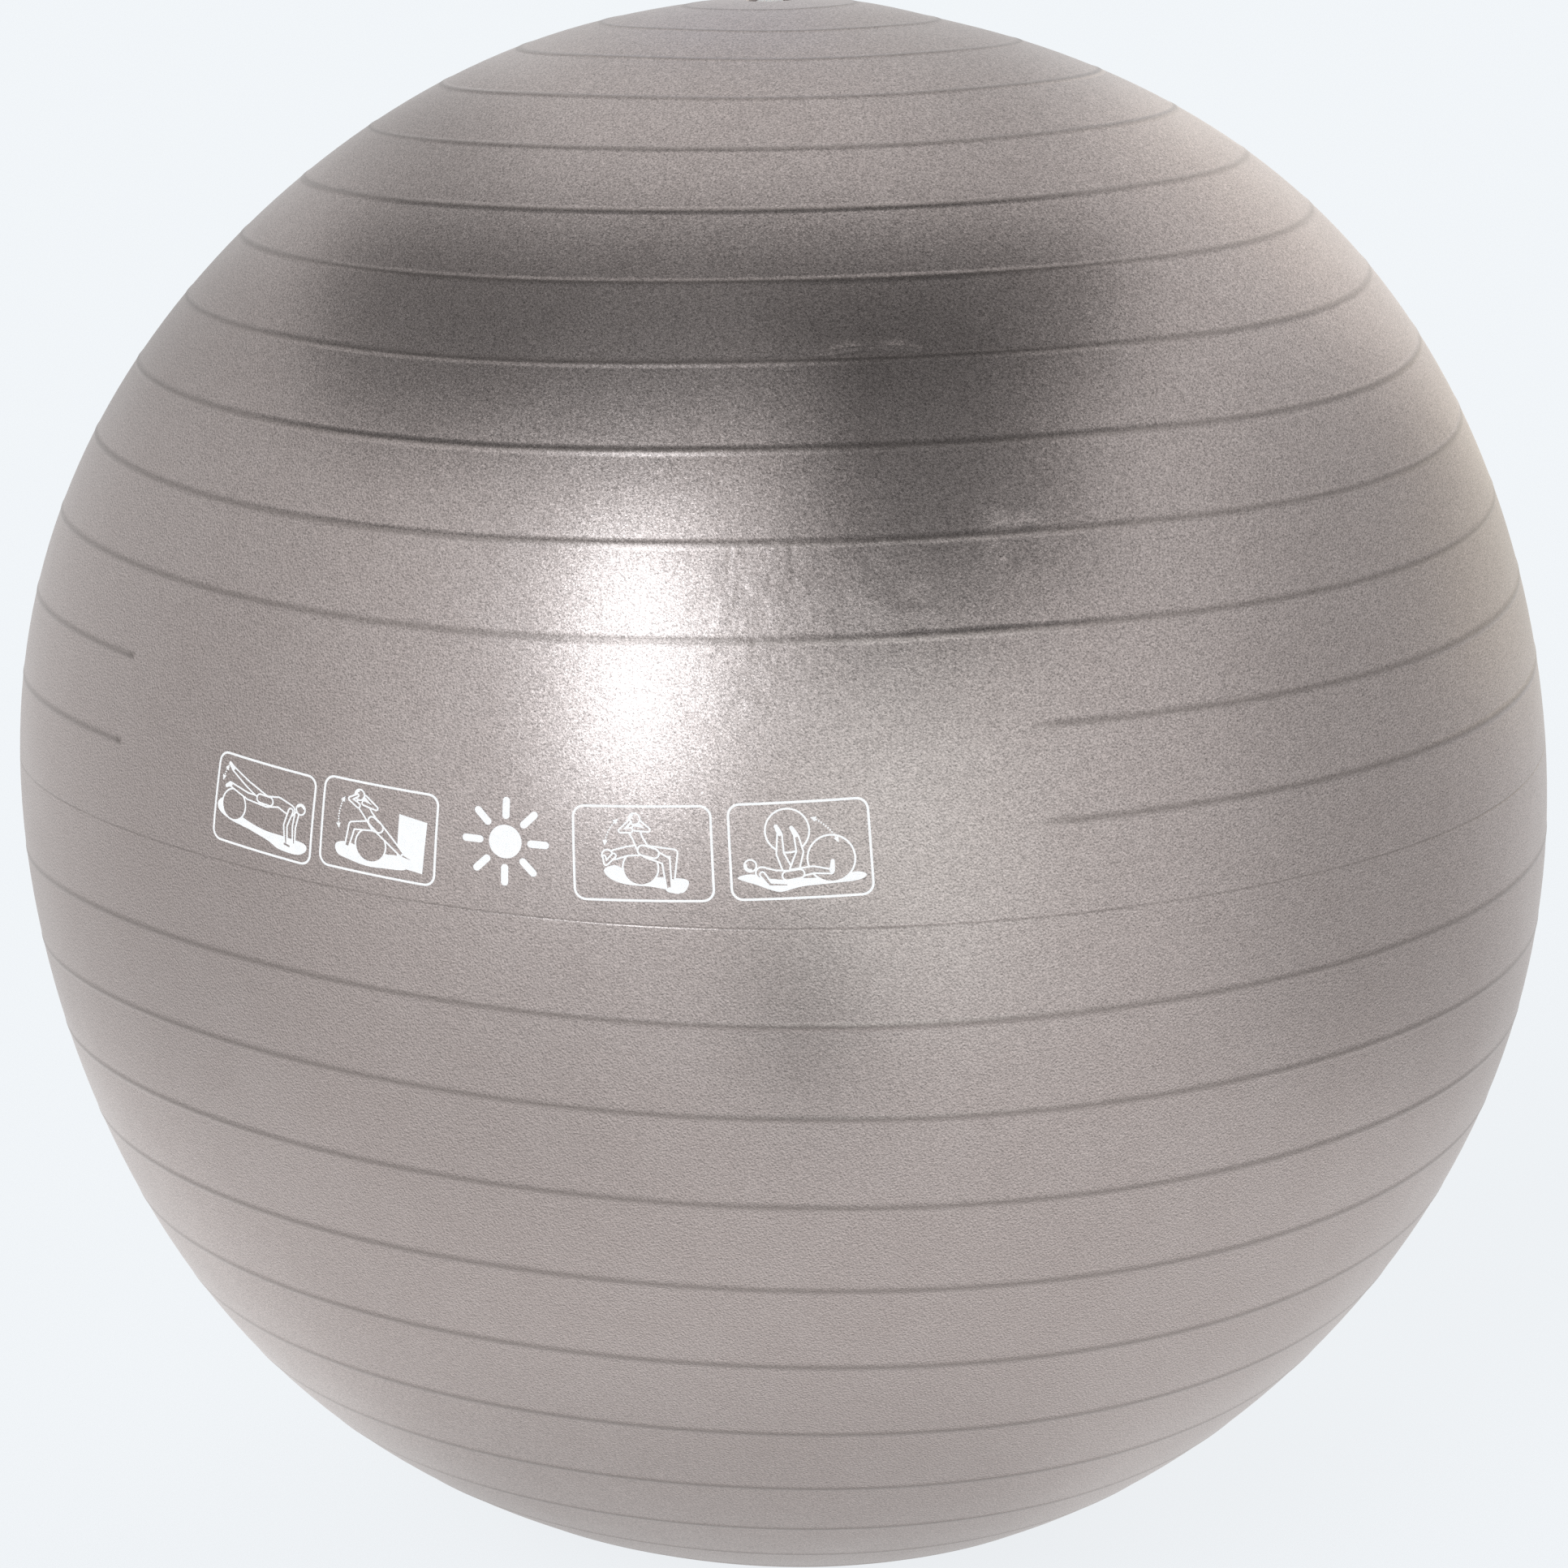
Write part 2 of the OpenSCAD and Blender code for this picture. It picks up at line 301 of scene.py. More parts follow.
def noise(tree, place, scale, detail=2.0, roughness=0.5, distortion=0.0):
    inputs = {"Vector": place, "Scale": scale, "Detail": detail, "Roughness": roughness,
              "Distortion": distortion}
    return add(tree, "ShaderNodeTexNoise", inputs).outputs["Fac"]


def ridges(tree, value):
    """Turns a noise into a net of fine ridges."""
    signed = calc(tree, "MULTIPLY_ADD", value, 2.0, -1.0)
    return calc(tree, "SUBTRACT", 1.0, calc(tree, "ABSOLUTE", signed))


def scaled(tree, value, factor):
    """A colour or vector times a number."""
    inputs = {0: value, "Scale": factor}
    return add(tree, "ShaderNodeVectorMath", inputs, operation="SCALE").outputs["Vector"]


def mix_colour(tree, factor, first, second):
    node = add(tree, "ShaderNodeMix", data_type="RGBA")
    for name, value in (("Factor", factor), ("A", first), ("B", second)):
        socket = next(s for s in node.inputs if s.name == name and s.enabled)
        if isinstance(value, bpy.types.NodeSocket):
            tree.links.new(value, socket)
        else:
            socket.default_value = value if name == "Factor" else (*value, 1)
    return next(s for s in node.outputs if s.enabled)


def new_material(name):
    material = bpy.data.materials.new(name)
    material.use_nodes = True
    material.node_tree.nodes.clear()
    return material, material.node_tree


def finish_material(tree, shader):
    add(tree, "ShaderNodeOutputMaterial", {"Surface": shader})


# ---- materials -----------------------------------------------------------------------

GRAIN_SCALE = 760  # one grain is about 1.3 mm
FINE_SCALE = 2200
FLAKE_SCALE = 1500  # a cluster of pearl flakes is 0.7 mm
FLAKE_TILT = 0.06
SPECK_SCALE = 1350  # pale and dark specks 0.7 mm across
SPECK_LEAN = (0.1 * MM, -0.08 * MM, 0.22 * MM)  # painted shade: each speck is painted pale on top and dark below, as if lit from above
SPECK_PAINTED_SHADE = 1.7  # contrast of that painted light and shade
SPECK_TINT = 0.6  # contrast between one speck and the next
GRAIN_H = 0.03 * MM
PEARL_DARK = (0.464, 0.411, 0.395)
PEARL_PALE = (0.493, 0.442, 0.427)
# the colour that the base is darkened towards along the rings and the mould line
RING_LINE_DARK = (0.15, 0.13, 0.12)
INK_DULL = (0.90, 0.91, 0.92)
INK_BRIGHT = (0.97, 0.97, 0.97)
# Creased patches: degrees round from the row and down from the valve, then size in millimetres.
CREASED_PATCHES = ((18.5, 64.5, 30), (17.0, 70.0, 22), (27.0, 65.5, 24), (36.5, 61.5, 20))


def leather_grain(tree, place):
    """Height of the fine leather grain the mould leaves on the vinyl, from 0 to about 1."""
    worms = ridges(tree, noise(tree, place, GRAIN_SCALE, 1.5, 0.5, 0.9))
    fine = noise(tree, place, FINE_SCALE, 1.0, 0.5)
    return calc(tree, "MULTIPLY_ADD", fine, 0.35, worms)


def creased_patch(tree, place):
    """1 in the creased patches, with ragged edges, and 0 elsewhere."""
    patch = 0.0
    for turn, angle, size in CREASED_PATCHES:
        centre = Vector(skin_point(angle * DEG, turn * DEG, plain=True))
        away = vector(tree, "LENGTH", vector(tree, "SUBTRACT", place, centre))
        mask = rise(tree, away, size * MM * 1.3, size * MM * 0.3)
        patch = calc(tree, "MAXIMUM", patch, mask)
    ragged = rise(tree, noise(tree, place, 60, 3.0, 0.6), 0.35, 0.65)
    return calc(tree, "MULTIPLY", patch, ragged)


def crumple(tree, place):
    """Height of the coarse crumpled grain, wider than it is high."""
    flattened = vector(tree, "MULTIPLY", place, (1, 1, 2.2))
    coarse = ridges(tree, noise(tree, flattened, 150, 4.0, 0.6, 1.2))
    fine = ridges(tree, noise(tree, flattened, 380, 3.0, 0.6, 0.8))
    return calc(tree, "ADD", coarse, fine)


def pearl_normal(tree, place, normal):
    """The normal with a slightly different tilt on each cluster of pearl flakes."""
    flakes = add(tree, "ShaderNodeTexVoronoi", {"Vector": place, "Scale": FLAKE_SCALE}).outputs["Color"]
    tilt = scaled(tree, vector(tree, "SUBTRACT", flakes, (0.5, 0.5, 0.5)), FLAKE_TILT)
    return vector(tree, "NORMALIZE", vector(tree, "ADD", normal, tilt))


def speck_tint_and_painted_shade(tree, place):
    """Brightness of the specks, about 1 on the whole: a tone that differs from speck to speck, with
    painted shade that makes each one pale on top and dark below as if lit from above.
    """
    speck = noise(tree, place, SPECK_SCALE, 1.0, 0.5)
    above = noise(tree, vector(tree, "ADD", place, SPECK_LEAN), SPECK_SCALE, 1.0, 0.5)
    # Painted shade: the difference to the speck just above makes one side lighter and the other darker,
    # as if lit from above.
    lit_side = calc(tree, "SUBTRACT", speck, above)
    shade = calc(tree, "MULTIPLY_ADD", lit_side, SPECK_PAINTED_SHADE, 1.0 - SPECK_TINT / 2)
    return calc(tree, "MULTIPLY_ADD", speck, SPECK_TINT, shade)


def vinyl_colour(tree, place):
    """Mottled pearl grey with specks, each with painted shade on its lower side as if lit from above, and
    darker along the rings.
    """
    cloud = noise(tree, place, 7, 3.0, 0.5)
    mottle = noise(tree, place, 55, 3.0, 0.6)
    tone = calc(tree, "MULTIPLY_ADD", mottle, 0.35, calc(tree, "MULTIPLY", cloud, 0.65))
    colour = mix_colour(tree, rise(tree, tone, 0.3, 0.7), PEARL_DARK, PEARL_PALE)
    # the specks' own tone together with their painted shade
    colour = scaled(tree, colour, speck_tint_and_painted_shade(tree, place))
    # Base colour darker along the rings and the mould line, most on each one's middle line.
    line_darkness = add(tree, "ShaderNodeAttribute", attribute_name="ring_darkening").outputs["Fac"]
    line_darkness = calc(tree, "MULTIPLY", line_darkness, 0.5, clamp=True)
    return mix_colour(tree, line_darkness, colour, RING_LINE_DARK)


def make_vinyl():
    material, tree = new_material("silver_vinyl")
    place = add(tree, "ShaderNodeTexCoord").outputs["Object"]
    patch = creased_patch(tree, place)
    crumpled = calc(tree, "MULTIPLY", patch, crumple(tree, place))
    relief = calc(tree, "MULTIPLY_ADD", crumpled, 2.4, leather_grain(tree, place))
    bump = add(tree, "ShaderNodeBump", {"Height": relief, "Strength": 1.0, "Distance": GRAIN_H})
    bumped = bump.outputs["Normal"]
    smudge = noise(tree, place, 14, 4.0, 0.6, 0.5)
    gloss = rise(tree, smudge, 0.3, 0.7, 0.255, 0.30)
    gloss = calc(tree, "MULTIPLY_ADD", patch, 0.05, gloss)
    shader = add(tree, "ShaderNodeBsdfPrincipled", {
        "Base Color": vinyl_colour(tree, place), "Metallic": 0.86, "Roughness": gloss,
        "Normal": pearl_normal(tree, place, bumped),
        "Coat Weight": 0.12, "Coat Roughness": 0.22, "Coat Normal": bumped})
    finish_material(tree, shader.outputs["BSDF"])
    return material


def make_ink():
    """Blotchy white ink over the vinyl's grain, with a faint painted glow that keeps it bright."""
    material, tree = new_material("white_ink")
    place = add(tree, "ShaderNodeTexCoord").outputs["Object"]
    grain = leather_grain(tree, place)
    bumped = add(tree, "ShaderNodeBump", {"Height": grain, "Strength": 0.6, "Distance": GRAIN_H})
    blotch = noise(tree, place, 300, 3.0, 0.6)
    colour = mix_colour(tree, rise(tree, blotch, 0.25, 0.75), INK_DULL, INK_BRIGHT)
    gloss = rise(tree, blotch, 0.3, 0.7, 0.42, 0.55)
    shader = add(tree, "ShaderNodeBsdfPrincipled", {
        "Base Color": colour, "Roughness": gloss, "Normal": bumped.outputs["Normal"]})
    # Painted light: the ink glows faintly, though it is no lamp, so it stays clean white.
    glow = add(tree, "ShaderNodeEmission", {"Color": (1, 1, 1, 1), "Strength": 0.12})
    both = add(tree, "ShaderNodeAddShader", {0: shader.outputs["BSDF"], 1: glow.outputs["Emission"]})
    finish_material(tree, both.outputs["Shader"])
    return material


def make_plastic(name, low, high, gloss, subsurface):
    """Moulded plastic with a faint flow pattern and fine scratches."""
    material, tree = new_material(name)
    place = add(tree, "ShaderNodeTexCoord").outputs["Object"]
    flow = noise(tree, place, 90, 4.0, 0.6, 0.8)
    colour = mix_colour(tree, rise(tree, flow, 0.3, 0.7), low, high)
    fine = noise(tree, place, 2600, 2.0, 0.6)
    scratch = rise(tree, ridges(tree, noise(tree, place, 260, 2.0, 0.5, 2.0)), 0.93, 1.0)
    relief = calc(tree, "SUBTRACT", calc(tree, "MULTIPLY", fine, 0.5), scratch)
    bumped = add(tree, "ShaderNodeBump", {"Height": relief, "Strength": 0.5, "Distance": 0.02 * MM})
    rough = rise(tree, flow, 0.3, 0.7, gloss, gloss + 0.1)
    shader = add(tree, "ShaderNodeBsdfPrincipled", {
        "Base Color": colour, "Roughness": rough, "Normal": bumped.outputs["Normal"],
        "Subsurface Weight": subsurface, "Subsurface Radius": (1.0 * MM, 0.8 * MM, 0.6 * MM)})
    finish_material(tree, shader.outputs["BSDF"])
    return material


# ---- the skin's mesh -----------------------------------------------------------------


def column_turns():
    """Turns of the mesh's columns, closer together where the skin has fine detail."""
    plain_step = 1.2
    widening = 0.22  # of the step, for each degree outside a zone
    # middle, half width and step in degrees: the creases beside the highlight, the panel's
    # left edge, its right edge and the long crease
    zones = ((16.9, 4.5, 0.3), (-35.5, 0.25, 0.12), (37.5, 1.5, 0.4), (28.0, 5.5, 0.8))
    turns = [-180.0]
    while turns[-1] < 180:
        step = plain_step
        for middle, half, fine in zones:
            outside = max(0.0, abs(turns[-1] - middle) - half)
            step = min(step, fine + widening * outside)
        turns.append(turns[-1] + step)
    count = len(turns) // 4 * 4
    places = np.linspace(0, len(turns) - 1, count + 1)
    turns = np.interp(places, range(len(turns)), turns)
    return (turns[:-1] + 180) / (turns[-1] + 180) * 360 * DEG - math.pi


def row_angles(first, last):
    """Angles of the mesh's rows: close together across a ring, wide apart between."""
    across = np.array([-1.1, -0.72, -0.38, 0.0, 0.38, 0.72, 1.1])
    lands = 3
    # more rows beside rings 8 and 10, where creases run; millimetres down from the ring
    extra = {8: (-2.2, -2.9, -3.6, -4.4, -5.4), 10: (2.6, 4.0, -2.6, -4.0)}
    rows = []
    for ring in range(1, last_ring):
        half = (seam_half if ring == crease_ring else rib_half) / mean_r
        middle = float(ring_angle(ring))
        following = float(ring_angle(ring + 1))
        rows += list(middle + across * half)
        edge = middle + across[-1] * half
        rows += [edge + (following - edge - half) * (k + 1) / (lands + 1) for k in range(lands)]
        rows += [middle + away * MM / mean_r for away in extra.get(ring, ())]
    rows = sorted(set(rows))
    return [row for row in rows if first < row < last]


def bridge(faces, start_a, count_a, start_b, count_b):
    """Joins two closed loops of vertices. One may have half as many as the other."""
    fewer = min(count_a, count_b)
    for i in range(fewer):
        j = (i + 1) % fewer
        if count_a == count_b:
            faces.append((start_a + i, start_a + j, start_b + j, start_b + i))
        elif count_a > count_b:
            a0, a1, a2 = (start_a + (2 * i + k) % count_a for k in range(3))
            b0, b1 = start_b + i, start_b + j
            faces += [(a0, a1, b0), (a1, b1, b0), (a1, a2, b1)]
        else:
            b0, b1, b2 = (start_b + (2 * i + k) % count_b for k in range(3))
            a0, a1 = start_a + i, start_a + j
            faces += [(a0, b1, b0), (a0, a1, b1), (a1, b2, b1)]


def ring_loop(radius, height, turns):
    """An even loop of points round the ball's axis."""
    return np.stack([radius * np.sin(turns), -radius * np.cos(turns),
                     np.full(len(turns), height)], axis=-1)


def mesh_object(name, points, faces, material):
    mesh = bpy.data.meshes.new(name)
    mesh.from_pydata([tuple(p) for p in points], [], [tuple(int(i) for i in f) for f in faces])
    mesh.update()
    mesh.materials.append(material)
    mesh.shade_smooth()
    piece = bpy.data.objects.new(name, mesh)
    bpy.context.collection.objects.link(piece)
    return piece


def dress(piece, node, body):
    """Makes a piece stand for a node of the frame."""
    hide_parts(node)
    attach(piece, body)


class Loops:
    """Closed loops of points round the ball, each with its normals and how much darker its colour is
    along the rings.
    """

    def __init__(self):
        self.points, self.normals, self.darkening = [], [], []

    def put(self, points, normals, darkening=0.0):
        self.points.append(points)
        self.normals.append(normals)
        self.darkening.append(np.full(len(points), darkening))

    def put_row(self, angle, turns):
        """A row of the outer skin."""
        # how much darker the colour is here, along the rings
        darkening, _ = ring_bell(np.full(len(turns), angle), turns)
        self.put(skin_point(angle, turns), skin_normal(angle, turns), darkening)

    def put_even(self, turns, radius, height, out, rising):
        """An even loop, facing as far out and as far up as the last two say."""
        size = math.hypot(out, rising)
        self.put(ring_loop(radius, height, turns), ring_loop(out / size, rising / size, turns))


def put_outside(loops, turns):
    """The outer skin, from the foot up to the edge of the recess."""
    cap = 24 * DEG  # near the poles half the columns will do
    foot_start = 172 * DEG
    foot_rows = 6
    foot_step = (math.pi - foot_start) / (foot_rows + 1)
    rows = row_angles(lip_angle + 0.4 * DEG, foot_start)
    rows += [foot_start + foot_step * k for k in range(1, foot_rows + 1)]
    for angle in reversed(rows):
        is_cap = angle < cap or angle > math.pi - cap
        loops.put_row(angle, turns[::2] if is_cap else turns)
    loops.put_row(lip_angle, turns[::2])


def put_valve_seat(loops, turns):
    """The recess's rounded edge, wall and floor, and the hole for the grommet."""
    edge_z = float(skin_point(lip_angle, 0.0)[2])
    lip_steps = 4
    for k in range(1, lip_steps + 1):
        a = k * 90 / lip_steps * DEG
        radius = recess_r + lip * (1 - math.sin(a))
        height = edge_z - lip * (1 - math.cos(a))
        loops.put_even(turns, radius, height, -math.sin(a), math.cos(a))
    fillet = 0.4 * MM
    bevel = 0.1 * MM
    under = recess_floor - boss_t
    for radius, height, out, rising in (
            (recess_r, recess_floor + fillet, -1, 0),
            (recess_r - 0.3 * fillet, recess_floor + 0.3 * fillet, -1, 1),
            (recess_r - fillet, recess_floor, 0, 1),
            (neck_r + bevel, recess_floor, 0, 1),
            (neck_r, recess_floor - bevel, -1, 0),
            (neck_r, under, -1, 0),
            (neck_r + bevel, under, 0, -1),
            (recess_r + wall_t, under, 0, -1)):
        loops.put_even(turns, radius, height, out, rising)


def put_inside(loops, turns):
    """The inner skin, from the valve down. It's out of sight, so its mesh is coarse."""
    rows = 44
    for k, angle in enumerate(np.linspace(lip_angle + 1.5 * DEG, 178 * DEG, rows)):
        row_turns = turns[::2] if k == 0 else turns[::4]
        loops.put(skin_point(angle, row_turns, -wall_t, plain=True), -skin_normal(angle, row_turns))


def build_skin(material):
    turns = column_turns()
    loops = Loops()
    put_outside(loops, turns)
    put_valve_seat(loops, turns[::2])
    put_inside(loops, turns)
    faces = []
    start = 0
    for loop, following in zip(loops.points[:-1], loops.points[1:]):
        bridge(faces, start, len(loop), start + len(loop), len(following))
        start += len(loop)

    # close both surfaces at the foot
    poles = np.array([skin_point(math.pi, 0.0), skin_point(math.pi, 0.0, -wall_t, plain=True)])
    poles[:, :2] = 0
    points = np.concatenate(loops.points + [poles])
    normals = np.concatenate(loops.normals + [[(0, 0, -1), (0, 0, 1)]])
    darkening = np.concatenate(loops.darkening + [[0, 0]])
    outer_pole, inner_pole = len(points) - 2, len(points) - 1
    first = len(loops.points[0])
    faces += [(outer_pole, (i + 1) % first, i) for i in range(first)]
    last = len(loops.points[-1])
    faces += [(inner_pole, start + i, start + (i + 1) % last) for i in range(last)]

    piece = mesh_object("vinyl_skin", points, faces, material)
    piece.data.normals_split_custom_set_from_vertices([tuple(n) for n in normals])
    piece.data.attributes.new("ring_darkening", "FLOAT", "POINT").data.foreach_set("value", darkening)
    dress(piece, "ball_skin", "ball")


# ---- printed pictures ----------------------------------------------------------------

ink_lift = 0.1 * MM  # the film's face above the skin
ink_root = -0.12 * MM  # the film's underside, inside the skin
row_rise = 26 * MM  # middle of the row above the mould line
row_angle = crease_angle - row_rise / mean_r

# Artwork is drawn in plain millimetres.
LINE = 0.66  # width of a drawn line
FOOT_WIDTHS = (1.35, 0.8)  # heel and toe
HAIRLINE = 0.55  # as a share of the head's radius
FRAME_W = 52
FRAME_H = 36.2
FRAME_R = 4.6
FRAME_LINE = 0.9
NARROWER = 1.2  # how much narrower the two left frames are
LONGEST_EDGE = 2.5  # so that edges bend with the skin
GRID_STEP = 3.0  # extra points do the same for inked areas
GRID_SHIFT = (0.013, 0.017)  # keeps those points off the outlines


class Drawing:
    """Flat artwork. Each shape inks or clears, and covers the ones before it."""

    def __init__(self):
        self.shapes = []

    def fill(self, points, ink=True):
        """A closed outline."""
        points = np.array(points, float)
        outline = []
        for a, b in zip(points, np.roll(points, -1, axis=0)):
            parts = max(1, math.ceil(float(np.hypot(*(b - a))) / LONGEST_EDGE))
            outline += [a + (b - a) * k / parts for k in range(parts)]
        self.shapes.append((ink, np.array(outline)))

    def disc(self, centre, radius, ink=True, parts=40):
        angles = np.arange(parts) * 2 * math.pi / parts
        self.fill(np.array(centre) + radius * np.stack([np.cos(angles), np.sin(angles)], -1), ink)

    def hoop(self, centre, radius, line=LINE, parts=40):
        self.disc(centre, radius, parts=parts)
        self.disc(centre, radius - line, ink=False, parts=parts)

    def taper(self, a, b, wide_a, wide_b, ink=True, parts=8):
        """The outline round two discs of different widths."""
        a, b = np.array(a, float), np.array(b, float)
        run = b - a
        length = max(float(np.hypot(*run)), 1e-6)
        turn = math.atan2(run[1], run[0])
        lean = math.acos(max(-1.0, min(1.0, (wide_a - wide_b) / 2 / length)))
        tail = np.linspace(turn + lean, turn + 2 * math.pi - lean, parts)
        tip = np.linspace(turn - lean, turn + lean, parts)
        self.fill([a + wide_a / 2 * np.array([math.cos(t), math.sin(t)]) for t in tail]
                  + [b + wide_b / 2 * np.array([math.cos(t), math.sin(t)]) for t in tip], ink)

    def limb(self, points, widths, solid=False):
        """A limb in outline: joints at the points, as wide as the widths there."""
        joints = list(zip(points[:-1], points[1:], widths[:-1], widths[1:]))
        for a, b, wide_a, wide_b in joints:
            self.taper(a, b, wide_a + LINE, wide_b + LINE)
        if not solid:
            for a, b, wide_a, wide_b in joints:
                self.taper(a, b, wide_a - LINE, wide_b - LINE, ink=False)

    def foot(self, heel, toe):
        self.limb([heel, toe], FOOT_WIDTHS, solid=True)

    def head(self, centre, radius, look):
        """A plain mannequin head: an oval with a band of hair."""
        self.disc(centre, radius + LINE / 2, parts=28)
        self.disc(centre, radius - LINE / 2, ink=False, parts=28)
        angles = np.linspace(look + 35 * DEG, look + 170 * DEG, 12)
        outer = [(math.cos(a), math.sin(a)) for a in angles]
        inner = [(HAIRLINE * x, HAIRLINE * y) for x, y in outer[::-1]]
        self.fill([(centre[0] + radius * x, centre[1] + radius * y) for x, y in outer + inner])

    def arc_arrow(self, centre, radius, start, end):
        """A dotted arc with an arrowhead at each end, for a movement. Angles in degrees."""
        dot_gap = 1.05
        dot_r = 0.33
        onward = 1 if end > start else -1
        step = onward * dot_gap / radius / DEG
        for angle in np.arange(start + 1.6 * step, end - 1.2 * step, step):
            dot = (centre[0] + radius * math.cos(angle * DEG), centre[1] + radius * math.sin(angle * DEG))
            self.disc(dot, dot_r, parts=8)
        for angle, way in ((start, -onward), (end, onward)):
            out = np.array([math.cos(angle * DEG), math.sin(angle * DEG)])
            ahead = way * np.array([-out[1], out[0]])
            tip = np.array(centre) + radius * out
            tail = tip - 1.4 * ahead
            self.fill([tip + 0.7 * ahead, tail + out, tail - out])

    def blob(self, points, steps=6):
        """A closed smooth outline through the points."""
        points = np.array(points, float)
        count = len(points)
        curve = []
        for i in range(count):
            p0, p1, p2, p3 = (points[(i + k - 1) % count] for k in range(4))
            for k in range(steps):
                t = k / steps
                curve.append(0.5 * (2 * p1 + (p2 - p0) * t + (2 * p0 - 5 * p1 + 4 * p2 - p3) * t ** 2
                                    + (3 * p1 - p0 - 3 * p2 + p3) * t ** 3))
        self.fill(curve)

    def box(self, width, height, radius, ink=True, parts=9):
        corners = []
        for quarter, (x, y) in enumerate(((1, 1), (-1, 1), (-1, -1), (1, -1))):
            for k in range(parts):
                angle = (quarter + k / (parts - 1)) * math.pi / 2
                corners.append((x * (width / 2 - radius) + radius * math.cos(angle),
                                y * (height / 2 - radius) + radius * math.sin(angle)))
        self.fill(corners, ink)

    def frame(self, width=FRAME_W):
        self.box(width, FRAME_H, FRAME_R)
        self.box(width - 2 * FRAME_LINE, FRAME_H - 2 * FRAME_LINE, FRAME_R - FRAME_LINE, ink=False)


def inside_polygon(points, outline):
    """Which points lie inside a closed outline."""
    hit = np.zeros(len(points), bool)
    x, y = points[:, 0], points[:, 1]
    for (x0, y0), (x1, y1) in zip(outline, np.roll(outline, -1, axis=0)):
        if y0 == y1:
            continue
        crossing = ((y0 > y) != (y1 > y)) & (x < (x1 - x0) * (y - y0) / (y1 - y0) + x0)
        hit ^= crossing
    return hit


def cut_out(shapes):
    """Divides the artwork into triangles and keeps the inked ones, all wound one way."""
    points, edges = [], []
    for _, outline in shapes:
        start = len(points)
        points += [Vector(p) for p in outline]
        edges += [(start + i, start + (i + 1) % len(outline)) for i in range(len(outline))]
    for x in np.arange(-25.5, 25.6, GRID_STEP):
        points += [Vector((x, y)) + Vector(GRID_SHIFT) for y in np.arange(-17, 17.1, GRID_STEP)]
    points, _, triangles, *_ = delaunay_2d_cdt(points, edges, [], 0, 1e-5)
    points = np.array([tuple(p) for p in points])
    triangles = np.array([tuple(t) for t in triangles])
    middles = points[triangles].mean(axis=1)
    inked = np.zeros(len(triangles), bool)
    for ink, outline in shapes:
        low, high = outline.min(axis=0), outline.max(axis=0)
        near = np.where(((middles >= low) & (middles <= high)).all(axis=1))[0]
        inked[near[inside_polygon(middles[near], outline)]] = ink
    ab = points[triangles[:, 1]] - points[triangles[:, 0]]
    ac = points[triangles[:, 2]] - points[triangles[:, 0]]
    area = ab[:, 0] * ac[:, 1] - ab[:, 1] * ac[:, 0]
    kept = inked & (np.abs(area) > 1e-7)
    triangles, area = triangles[kept], area[kept]
    triangles[area < 0] = triangles[area < 0][:, ::-1]
    used, triangles = np.unique(triangles, return_inverse=True)
    return points[used], triangles.reshape(-1, 3)


def build_print(name, node, drawing, turn, rise_mm, tilt, material):
    """Lays the artwork on the skin as a thin closed film, with a sharp edge all round."""
    points, triangles = cut_out(drawing.shapes)
    x = points[:, 0] * math.cos(tilt) - points[:, 1] * math.sin(tilt)
    y = points[:, 0] * math.sin(tilt) + points[:, 1] * math.cos(tilt)
    angles = row_angle - (y + rise_mm) * MM / mean_r
    turns = turn + x * MM / (seam_r * np.sin(row_angle))
    top = skin_point(angles, turns, ink_lift)
    root = skin_point(angles, turns, ink_root)
    count = len(points)
    sides = [(int(t[k]), int(t[(k + 1) % 3])) for t in triangles for k in range(3)]
    shared = set(sides)
    rim = [side for side in sides if side[::-1] not in shared]
    faces = [tuple(t) for t in triangles]
    faces += [tuple(t[::-1] + count) for t in triangles]
    faces += [(i, i + count, j + count, j) for i, j in rim]
    piece = mesh_object(name, np.concatenate([top, root]), faces, material)
    sharp = {tuple(sorted((i + k, j + k))) for i, j in rim for k in (0, count)}
    for edge in piece.data.edges:
        edge.use_edge_sharp = tuple(sorted(edge.vertices)) in sharp
    dress(piece, node, "ball")


def draw_plank():
    """Hands on the floor, feet on the ball, one leg lifting."""
    art = Drawing()
    art.frame(FRAME_W - NARROWER)
    art.blob([(-23.5, -2.5), (-20, -0.5), (-14, -4), (-8, -6.5), (2, -8.5), (12, -8.8), (21.5, -9.5),
              (23, -12), (19, -14.6), (10, -14.4), (4, -12.2), (-6, -10), (-16, -8.5), (-22.5, -6)])
    art.hoop((-15, -2), 6.6)
    art.limb([(17.2, 1.2), (16.4, -4.2), (16.8, -10.4)], [1.9, 1.5, 1.1])
    art.limb([(2.0, 2.6), (-8.0, 3.0), (-17.6, 5.6)], [3.4, 2.6, 1.6])
    art.foot((-17.8, 5.8), (-19.9, 4.6))
    art.limb([(2.0, 3.4), (-8.2, 7.6), (-17.0, 12.0)], [3.6, 2.6, 1.6])
    art.foot((-17.4, 12.3), (-19.3, 13.8))
    art.limb([(1.6, 3.0), (8.0, 4.2), (14.0, 2.2)], [4.2, 3.9, 4.4])
    art.limb([(3.4, 3.4), (-1.6, 3.6)], [3.4, 3.4])
    art.limb([(14.2, 2.0), (12.2, -4.2), (13.0, -11.0)], [2.2, 1.7, 1.2])
    art.taper((12.4, -11.6), (14.8, -12.1), 0.8, 0.8, ink=False, parts=5)
    art.head((18.9, 3.6), 2.1, look=-20 * DEG)
    art.arc_arrow((-3.0, 3.4), 19.3, 152, 169)
    return art


